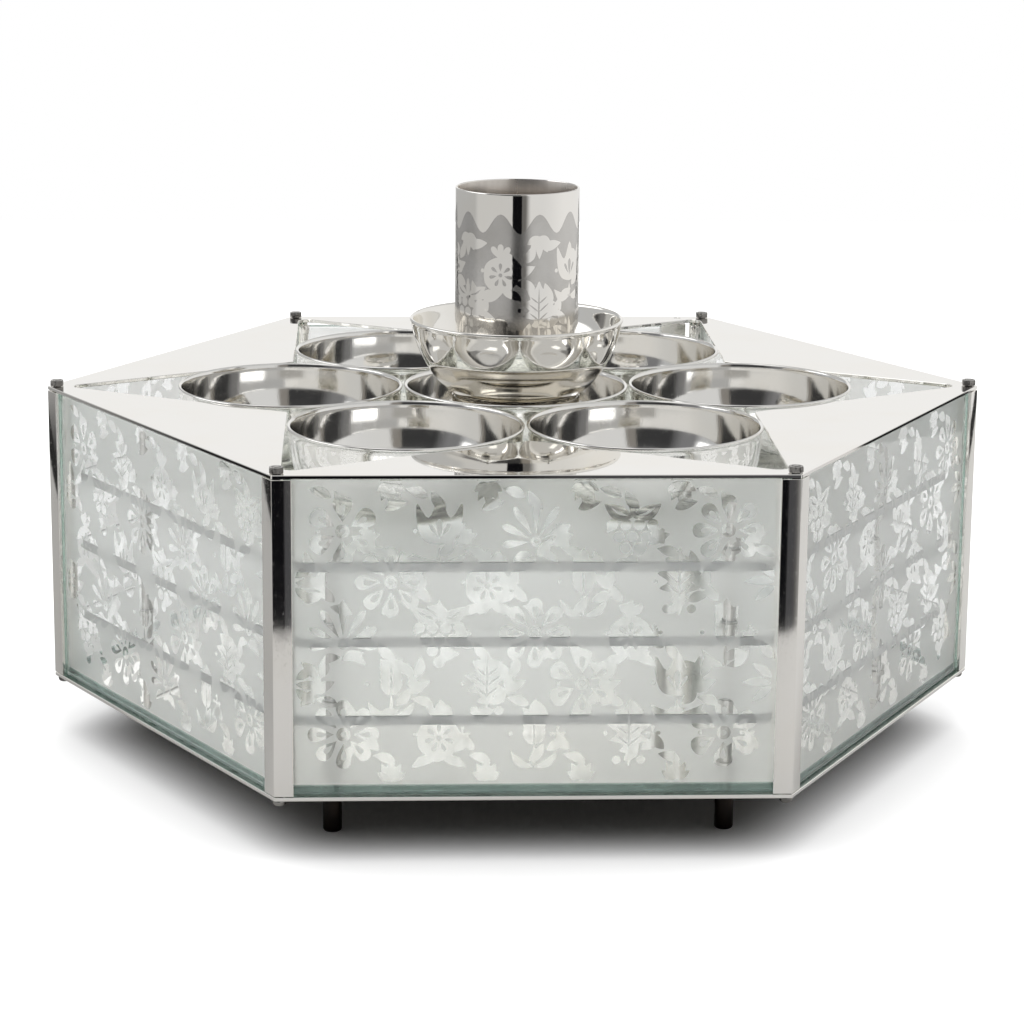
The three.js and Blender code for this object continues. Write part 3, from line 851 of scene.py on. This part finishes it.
# ------------------------------------------------------------------ fasteners
for corner, angle in CORNERS:
    x, y = at(BOLT_R, angle)
    # Nut: six flats with turned chamfers at both ends.
    z0, z1 = TOP_Z + 0.3, TOP_Z + 2.7
    rows = []
    seg = 48
    af = 2.75
    for z, cap in ((z0, 2.78), (z0 + 0.32, 9), (z1 - 0.32, 9), (z1, 2.78)):
        row = []
        for i in range(seg):
            t = 360 / seg * i
            r = af / math.cos(rad((t + 30) % 60 - 30))
            r = min(r, cap)
            row.append((x + r * math.cos(rad(t + angle)), y + r * math.sin(rad(t + angle)), z))
        rows.append(row)
    hole = [[(x + r * math.cos(rad(360 / seg * i + angle)), y + r * math.sin(rad(360 / seg * i + angle)), z) for i in range(seg)] for r, z in ((1.95, z1), (1.66, z1 - 0.28), (1.66, z0))]
    rings = rows + hole
    verts = [p for r in rings for p in r]
    faces = []
    for k in range(len(rings)):
        a, b = k * seg, ((k + 1) % len(rings)) * seg
        for i in range(seg):
            j = (i + 1) % seg
            faces.append((a + i, b + i, b + j, a + j))
    stands_for(new_object("nut_" + corner, verts, faces, [FASTENER], smooth_angle=25), "corner_nut_" + corner)
    # Bolt: its domed end stands a little above the nut, its head is a low dome with a driver recess.
    hb = BASE_TOP - PLATE_T - 0.3
    profile = [(0, hb - 1.3), (0.95, hb - 1.3), (1.05, hb - 2.22), (1.5, hb - 2.3), (2.1, hb - 2.05), (2.5, hb - 1.55), (2.68, hb - 0.9), (2.7, hb - 0.25), (2.6, hb), (1.5, hb)]
    profile += [(1.5, z1 - 0.25), (1.38, z1 - 0.02), (1.0, z1 + 0.09), (0, z1 + 0.1)]
    v, f = lathe(profile, 32, (x, y))
    stands_for(new_object("bolt_" + corner, v, f, [FASTENER], smooth_angle=35), "corner_bolt_" + corner)

    # Rod behind the glass, with its collar.
    x, y = at(ROD_R, angle)
    top = TOP_Z - 2.7
    v, f = lathe([(0, 27.3), (1.95, 27.3), (2.15, 27.5), (2.15, top - 4.2), (2.42, top - 4.1), (2.6, top - 3.9), (2.6, top - 0.4), (2.45, top - 0.08), (2.2, top), (1.0, top), (0.85, top - 0.5), (0, top - 0.5)], 40, (x, y))
    stands_for(new_object("rod_" + corner, v, f, [SILVER_PARTS], smooth_angle=30), "corner_rod_" + corner)

    # Pillar: turned spacers on a stud.
    x, y = at(PILLAR_R, angle)
    p, c = 2.45, 4.0
    prof = [(0, 19.0), (1.3, 19.0), (1.5, 19.25), (1.5, 27.3), (c - 0.15, 27.3), (c, 27.45), (c, 29.1), (c - 0.2, 29.3), (p, 29.3)]
    for top in (57.0, 89.0, 119.5):
        u = top - 4.3
        prof += [(p, u - 2.0), (c - 0.2, u - 2.0), (c, u - 1.8), (c, u - 0.15), (c - 0.15, u), (p, u)]
    cap = 119.8
    prof += [(p, cap), (c - 0.15, cap), (c, cap + 0.15), (c, cap + 3.7), (c - 0.5, cap + 4.35), (p - 0.4, cap + 4.5), (p - 0.4, cap + 16.8), (p - 0.9, cap + 17.4), (0, cap + 17.4)]
    v, f = lathe(prof, 32, (x, y))
    stands_for(new_object("post_" + corner, v, f, [PILLAR_METAL], smooth_angle=30), "pillar_" + corner)

    # Foot.
    r = 3.8
    prof = [(0, 0), (r - 1.15, 0), (r - 0.75, 0.07), (r - 0.4, 0.28), (r - 0.15, 0.62), (r - 0.02, 1.05), (r, 1.4), (r, 24.6), (r - 0.2, 25.0), (r - 0.5, 25.1), (1.65, 25.1), (1.65, 18.5), (0, 18.5)]
    v, f = lathe(prof, 48, (x, y))
    stands_for(new_object("pin_foot_" + corner, v, f, [FOOT_METAL], smooth_angle=30), "foot_" + corner)

# ------------------------------------------------------------------ shelves
for name, top in (("shelf_top", 119.5), ("shelf_middle", 89.0), ("shelf_bottom", 57.0)):
    s = (187.5 - 164.0 * math.cos(rad(30))) / 0.5
    pts = []
    for k in range(6):
        n = Vector(at(164.0, k * 60 + 30))
        pts.append(n + Vector(at(s, k * 60 - 60)))
        pts.append(n + Vector(at(s, k * 60 + 120)))
    outline = rounded([tuple(p) for p in pts], 0.8, 3)
    holes = [circle(*at(PILLAR_R, a), 2.75, 24) for _, a in CORNERS]
    verts, faces = plate([outline] + holes, top - 4.0, top, 0.35)
    mats = [0 if len({verts[i][2] for i in f}) == 1 else 1 for f in faces]
    stands_for(new_object("glass_" + name, verts, faces, [GLASS_SHELF, GLASS_SHELF_EDGE], mats), name)


# ------------------------------------------------------------------ bowls
def bowl_profile():
    a, depth, power, rim, bottom = 48.6, 39.4, 2.7, 158.0, 119.8
    at_r = lambda r: rim - depth * (1 - (r / a) ** power) ** (1 / power)
    at_d = lambda d: a * (1 - (d / depth) ** power) ** (1 / power)
    flat = 0.0
    while at_r(flat) < bottom:
        flat += 0.02
    outer = [(0, bottom), (flat * 0.5, bottom)]
    # the flat's edge is eased
    for r in (flat * 0.9, flat * 1.03, flat * 1.18):
        outer.append((r, max(bottom + (0.02 if r > flat else 0.0), at_r(r))))
    for i in range(1, 13):
        r = flat * 1.18 + (42.0 - flat * 1.18) * i / 12
        outer.append((r, at_r(r)))
    z42 = rim - at_r(42.0)
    for i in range(1, 15):
        d = z42 + (1.9 - z42) * i / 14
        outer.append((at_d(d), rim - d))
    inner = inset(outer, 1.2)[::-1]
    inner[-1] = (0, bottom + 1.2)
    r = 49.1
    bead = [(r - 0.32, rim - 1.62), (r - 0.06, rim - 1.2), (r, rim - 0.8), (r - 0.08, rim - 0.4), (r - 0.3, rim - 0.12), (r - 0.65, rim), (r - 1.0, rim - 0.08), (r - 1.32, rim - 0.35), (r - 1.55, rim - 0.8)]
    return outer + bead + inner


BOWL = bowl_profile()
# The bowls take the darker silver with its painted shade.
for corner, angle in CORNERS:
    v, f = lathe(BOWL, 144, at(BOWL_RING_R, angle))
    stands_for(new_object("silver_bowl_" + corner, v, f, [SILVER_BOWL_PAINTED_SHADE], smooth_angle=40), "bowl_" + corner)
v, f = lathe(BOWL, 144)
stands_for(new_object("silver_bowl_centre", v, f, [SILVER_BOWL_PAINTED_SHADE], smooth_angle=40), "bowl_centre")

# The raised bowl and its foot.
RIM = 187.8
line = catmull([(0, 36), (9, 36), (17, 35.95), (24.5, 34.8), (30.9, 31), (36.4, 25.2), (41.2, 17.5), (44.7, 9), (46.2, 1.9)], 6)
outer = [(max(0.0, r), RIM - d) for r, d in line]
outer = [(r, max(RIM - 36.0, z)) for r, z in outer]
inner = inset(outer, 1.2)[::-1]
inner[-1] = (0, RIM - 36 + 1.2)
r = 46.7
bead = [(r - 0.3, RIM - 1.6), (r - 0.05, RIM - 1.2), (r, RIM - 0.8), (r - 0.08, RIM - 0.4), (r - 0.3, RIM - 0.12), (r - 0.62, RIM), (r - 0.95, RIM - 0.08), (r - 1.25, RIM - 0.35), (r - 1.5, RIM - 0.8)]
v, f = lathe(outer + bead + inner, 160)
stands_for(new_object("silver_raised_bowl", v, f, [SILVER_RAISED], smooth_angle=40), "raised_bowl")
b, t2 = 124.2, RIM - 33.9
v, f = lathe([(28.0, b + 0.5), (28.0, t2 - 0.35), (27.85, t2 - 0.3), (27.0, t2 - 0.5), (26.8, t2 - 0.65), (26.8, b + 0.2), (27.0, b), (27.6, b), (27.88, b + 0.15)], 144, closed=True)
stands_for(new_object("silver_raised_foot", v, f, [SILVER_RAISED], smooth_angle=40), "raised_bowl_foot")


# ------------------------------------------------------------------ cup
def cup():
    """One closed mesh. Its outer wall is cut along the ornament's outlines, so that the matte and
    the polished parts are separate faces."""
    R, rim, base, round_, wall = 27.0, 245.0, 154.1, 7.0, 1.0
    girth = 2 * math.pi * R
    seg = 144
    lo, hi = base + round_, rim - 0.35
    # Ornament: windows in an etched field whose upper edge is scalloped.
    k = 10
    top = []
    crest = rim - 12.0
    for i in range(k * 12 + 1):
        s = girth * i / (k * 12)
        ph = 2 * math.pi * i / 12
        top.append((s, crest + 3.4 * math.cos(ph) - 1.6 * abs(math.sin(ph / 2)) ** 3))
    field = [(0, lo), (girth, lo)] + top[::-1]
    clear, matte = ornament(0.0, girth, lo + 0.6, crest - 4.6, 5, 2, 7, size=0.45)
    clear = [w for w in clear if min(p[0] for p in w) > 0.3 and max(p[0] for p in w) < girth - 0.3]
    first_matte = 2 + len(clear)
    pts, polys = [], []
    # the seam's two sides get the same heights
    heights = [lo + (hi - lo) * i / 40 for i in range(1, 40)] + [top[0][1], hi - 0.25]
    heights = sorted(set(round(h, 5) for h in heights))
    rect = [(girth * i / seg, lo) for i in range(seg + 1)] + [(girth, h) for h in heights] + [(girth * (seg - i) / seg, hi) for i in range(seg + 1)] + [(0.0, h) for h in heights[::-1]]
    for loop in [rect, field] + clear + matte:
        start = len(pts)
        pts += [Vector(p) for p in loop]
        polys.append(list(range(start, start + len(loop))))
    # points between, so that the wall follows the curve
    for i in range(1, seg):
        for j in range(1, 24):
            pts.append(Vector((girth * i / seg + (0.3 if j % 2 else -0.3), lo + (hi - lo) * j / 24)))
        pts.append(Vector((girth * i / seg, hi - 0.25)))
    vs, _, fs, _, _, ids = mathutils.geometry.delaunay_2d_cdt(pts, [], polys, 0, 1e-5, True)
    verts = [(R * math.cos(v.x / R), R * math.sin(v.x / R), v.y) for v in vs]
    faces = [tuple(f) for f in fs]
    mats = [1 if (1 in i and (not any(q >= 2 for q in i) or any(q >= first_matte for q in i))) else 0 for i in ids]
    # Rim, inside and bottom.
    prof = [(R, hi), (R - 0.1, rim - 0.12), (R - 0.3, rim), (R - 0.7, rim), (R - 0.9, rim - 0.12), (R - wall, hi)]
    for i in range(1, 12):
        prof.append((R - wall, hi + (base + round_ - hi) * i / 12))
    for i in range(0, 9):
        a = rad(-90 * i / 8)
        prof.append((R - round_ + (round_ - wall) * math.cos(a), base + round_ + (round_ - wall) * math.sin(a)))
    prof += [(12, base + wall), (0, base + wall)]
    v2, f2 = lathe(prof, seg)
    prof = [(0, base), (12, base)]
    for i in range(0, 9):
        a = rad(-90 + 90 * i / 8)
        prof.append((R - round_ + round_ * math.cos(a), base + round_ + round_ * math.sin(a)))
    v3, f3 = lathe(prof, seg)
    for v, f, inside in ((v2, f2, 2), (v3, f3, 0)):
        base_i = len(verts)
        verts += v
        faces += [tuple(base_i + q for q in g) for g in f]
        mats += [inside if max(math.hypot(*v[q][:2]) for q in g) < R - wall + 0.01 else 0 for g in f]
    ob = new_object("silver_cup", verts, faces, [SILVER_CUP, SILVER_ETCHED, SILVER_SATIN], mats, smooth_angle=30)
    return stands_for(ob, "cup")


cup()

# ------------------------------------------------------------------ the door's clips keep their own shape
for n in ("door_clip_bottom", "door_clip_top"):
    ob = nodes[n]
    ob.data.materials.clear()
    ob.data.materials.append(SILVER_PARTS)
    bev = ob.modifiers.new("edges", "BEVEL")
    bev.width = 0.0002
    bev.segments = 2
    bev.limit_method = "ANGLE"

# ------------------------------------------------------------------ floor
me = bpy.data.meshes.new("floor")
x0, x1, y0, y1 = -0.735, 0.80, -0.512, 1.60
me.from_pydata([(x0, y0, 0), (x1, y0, 0), (x1, y1, 0), (x0, y1, 0)], [], [(0, 1, 2, 3)])
floor = bpy.data.objects.new("floor", me)
scene.collection.objects.link(floor)
m, t = material("floor_pale")
path = t.node("ShaderNodeLightPath")
co = t.node("ShaderNodeTexCoord").outputs["Object"]
sep = t.node("ShaderNodeSeparateXYZ")
t.put(sep.inputs[0], co)
table = t.math("MULTIPLY", t.ramp(sep.outputs[0], -0.632, -0.622), t.ramp(sep.outputs[0], 0.70, 0.69))
diffuse_seen = t.node("ShaderNodeBsdfDiffuse")
diffuse_seen.inputs["Color"].default_value = rgb(0.80, 0.80, 0.80)
diffuse_other = t.node("ShaderNodeBsdfDiffuse")
# Painted light: in mirror reflections the floor is painted darker towards the left and brighter towards the right.
# Past the table's ends it is near black.
mirrored_floor_painted_light = t.mix(t.ramp(sep.outputs[0], -0.32, -0.12), rgb(0.215, 0.214, 0.21), rgb(0.315, 0.313, 0.308))
mirrored_floor_painted_light = t.mix(t.ramp(sep.outputs[0], 0.05, 0.30), mirrored_floor_painted_light, rgb(0.345, 0.343, 0.338))
mirrored_floor_painted_light = t.mix(table, rgb(0.01, 0.01, 0.01), mirrored_floor_painted_light)
other = t.mix(path.outputs["Is Glossy Ray"], rgb(0.38, 0.38, 0.377), mirrored_floor_painted_light)
other = t.mix(path.outputs["Is Transmission Ray"], other, rgb(0.48, 0.48, 0.477))
t.put(diffuse_other.inputs["Color"], other)
mix = t.node("ShaderNodeMixShader")
t.put(mix.inputs[0], path.outputs["Is Camera Ray"])
t.t.links.new(diffuse_other.outputs[0], mix.inputs[1])
t.t.links.new(diffuse_seen.outputs[0], mix.inputs[2])
out = t.node("ShaderNodeOutputMaterial")
t.t.links.new(mix.outputs[0], out.inputs["Surface"])
me.materials.append(m)

# ------------------------------------------------------------------ studio
world = bpy.data.worlds.new("studio")
scene.world = world
world.use_nodes = True
t = Tree(world.node_tree)
direction = t.node("ShaderNodeTexCoord").outputs["Generated"]
sep = t.node("ShaderNodeSeparateXYZ")
t.put(sep.inputs[0], direction)
X, Y, Z = sep.outputs
AZ = t.math("MULTIPLY", t.math("ARCTAN2", X, t.math("MULTIPLY", Y, -1.0)), 180 / math.pi)  # 0 towards -Y, + to the right
EL = t.math("MULTIPLY", t.math("ARCSINE", Z), 180 / math.pi)
PX = t.math("DIVIDE", X, t.math("MAXIMUM", Z, 0.02))
PY = t.math("DIVIDE", Y, t.math("MAXIMUM", Z, 0.02))


def window(v, lo, hi, soft_lo, soft_hi=None):
    soft_hi = soft_lo if soft_hi is None else soft_hi
    return t.math("MULTIPLY", t.ramp(v, lo - soft_lo, lo + soft_lo), t.ramp(v, hi - soft_hi, hi + soft_hi, 1.0, 0.0))


def cards(base, entries):
    """Soft-edged areas of light laid over each other, the last on top."""
    light = rgb(base, base, base)
    for mask, value in entries:
        light = t.mix(mask, light, rgb(*value) if isinstance(value, tuple) else rgb(value, value, value))
    return light


def times(*masks):
    out = masks[0]
    for m in masks[1:]:
        out = t.math("MULTIPLY", out, m)
    return out


ABS_AZ = t.math("ABSOLUTE", AZ)
# What the polished metal mirrors.
mirrored = cards(0.57, [
    # The side at the right and its end of the backdrop.
    (times(window(AZ, 13, 178, 4, 6), t.ramp(EL, 40, 32)), (0.70, 0.70, 0.695)),
    (times(window(AZ, 70, 176, 30, 5), t.ramp(EL, 34, 22)), (0.82, 0.815, 0.805)),
    # The left side, darker low down.
    (times(window(AZ, -168, -62, 6, 6), t.ramp(EL, 20, 14)), (0.48, 0.485, 0.49)),
    (times(window(AZ, -170, -84, 8, 6), t.ramp(EL, -5, -9)), (0.44, 0.438, 0.43)),
    (times(window(AZ, -172, -86, 6, 6), t.ramp(EL, -10.5, -12.5)), (0.03, 0.03, 0.031)),
    (times(window(AZ, -84, -12, 6, 0.5), t.ramp(EL, -4, -8)), (0.58, 0.577, 0.568)),
    # The backdrop: bright where the table's light falls on it, dimmer above.
    (times(t.ramp(ABS_AZ, 163, 169), window(EL, -20, 17, 2)), (0.90, 0.895, 0.885)),
    (times(t.ramp(ABS_AZ, 146, 160), window(EL, 19, 36, 2.5)), (0.42, 0.415, 0.40)),
    # The long softbox at the left.
    (times(window(AZ, -120, -65, 5), window(EL, 16.5, 30, 2.6)), (2.3, 2.31, 2.34)),
    # The camera's side of the room.
    (times(window(AZ, -64, -30, 6, 14), window(EL, 3, 35, 4)), (0.20, 0.20, 0.205)),
    (times(window(AZ, -40, 9, 9, 5), window(EL, 6, 42, 3, 7)), (0.040, 0.040, 0.041)),
    (times(window(AZ, 4, 15, 2, 3), window(EL, 2, 36, 3)), (0.24, 0.225, 0.205)),
    (times(window(AZ, -26, 10, 6), window(EL, 38, 64, 6)), (0.22, 0.22, 0.22)),
    (times(window(AZ, -30, 14, 8, 4), window(EL, -4, 7, 2)), (0.30, 0.30, 0.295)),
    # The dark gap over the table's front edge, where the camera stands.
    (times(window(AZ, -11.5, 6.5, 0.4, 1.2), t.ramp(EL, -2, -5)), (0.004, 0.004, 0.005)),
    (times(window(AZ, 6, 17, 1.0, 6), t.ramp(EL, -2, -5)), (0.14, 0.136, 0.13)),
    (times(window(AZ, 3.2, 12, 0.7, 3), t.ramp(EL, -10.5, -12.0)), (0.062, 0.062, 0.066)),
    # The softbox overhead.
    (times(window(PX, -0.50, -0.08, 0.06), window(PY, -0.24, 0.24, 0.06), t.ramp(EL, 40, 50)), (1.35, 1.35, 1.34)),
])
# What shines through the glass: the white backdrop behind, and the softbox at the left in front.
through = cards(1.34, [
    (window(AZ, 72, 172, 12, 5), 0.22),
    (window(AZ, -170, -125, 5, 8), 1.0),
    (window(AZ, -125, -34, 8, 10), 1.3),
    (window(AZ, -34, 20, 8, 10), 1.6),
    (window(AZ, 20, 72, 10, 10), 0.08),
])
# What lights the table: a tent of light overhead, and nothing low down.
above = cards(0.0, [(t.ramp(EL, 22, 42), 2.72)])

path = t.node("ShaderNodeLightPath")
light = t.mix(path.outputs["Is Glossy Ray"], above, mirrored)
light = t.mix(path.outputs["Is Transmission Ray"], light, through)
seen = t.mix(path.outputs["Is Camera Ray"], light, rgb(1.0, 1.0, 1.0))
bg = t.node("ShaderNodeBackground")
t.put(bg.inputs["Color"], seen)
bg.inputs["Strength"].default_value = 1.0
out = t.node("ShaderNodeOutputWorld")
t.t.links.new(bg.outputs[0], out.inputs["Surface"])

scene.view_settings.view_transform = "Standard"
scene.view_settings.look = "None"
scene.view_settings.exposure = 0.0
scene.view_settings.gamma = 1.0
scene.cycles.max_bounces = 28
scene.cycles.glossy_bounces = 12
scene.cycles.transmission_bounces = 24
scene.cycles.diffuse_bounces = 6
scene.cycles.transparent_max_bounces = 12
scene.cycles.caustics_reflective = True
scene.cycles.caustics_refractive = True
scene.cycles.blur_glossy = 0.0
scene.cycles.sample_clamp_indirect = 6.0
scene.cycles.use_denoising = True
scene.cycles.seed = 1
